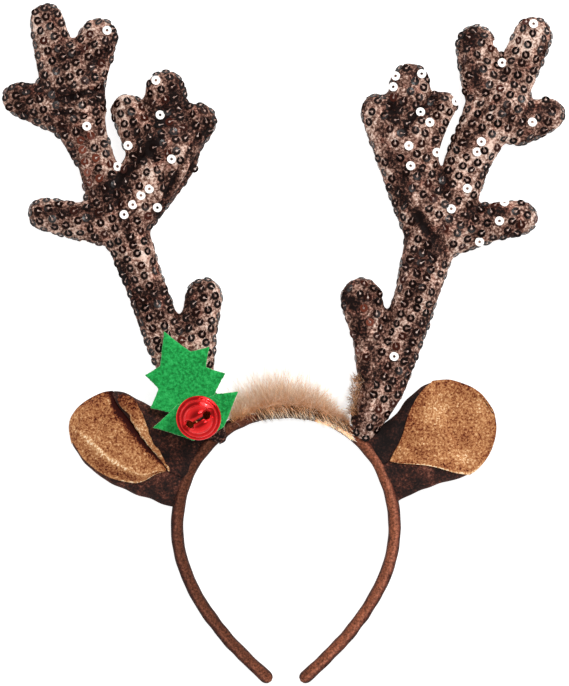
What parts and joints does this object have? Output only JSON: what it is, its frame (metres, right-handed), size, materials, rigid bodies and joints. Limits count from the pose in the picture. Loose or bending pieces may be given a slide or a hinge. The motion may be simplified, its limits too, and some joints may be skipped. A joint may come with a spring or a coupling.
{
  "type": "reindeer antler headband",
  "caption": "Padded headband with stuffed sequinned antlers, folded plush ears, a fur trim, felt holly leaves and a jingle bell.",
  "frame": {"origin": "middle of the flat back of the band's crown, on the surface that the headband lies on", "axes": "+X to the right of someone looking at the front, +Y from the band's tips to the antlers, +Z out of the front, away from the surface"},
  "size_m": [0.3211, 0.3875, 0.049],
  "materials": {
    "brown_velvet": "matt pile",
    "sequinned_cloth": "shiny sequins on knit",
    "dark_velvet": "matt pile",
    "tan_plush": "sheen pile",
    "beige_fur": "fluffy",
    "green_felt": "matt felt",
    "red_metal": "gloss",
    "steel": "plain"
  },
  "bodies": {
    "root": {"headband": "brown_velvet", "antler_left": "sequinned_cloth", "antler_right": "sequinned_cloth", "ear_left_outer": "dark_velvet", "ear_right_outer": "dark_velvet", "ear_left_lining": "tan_plush", "ear_right_lining": "tan_plush", "fur_trim": "beige_fur", "holly_leaf_upper": "green_felt", "holly_leaf_lower": "green_felt", "jingle_bell": "red_metal", "bell_pellet": "steel"}
  },
  "joints": []
}
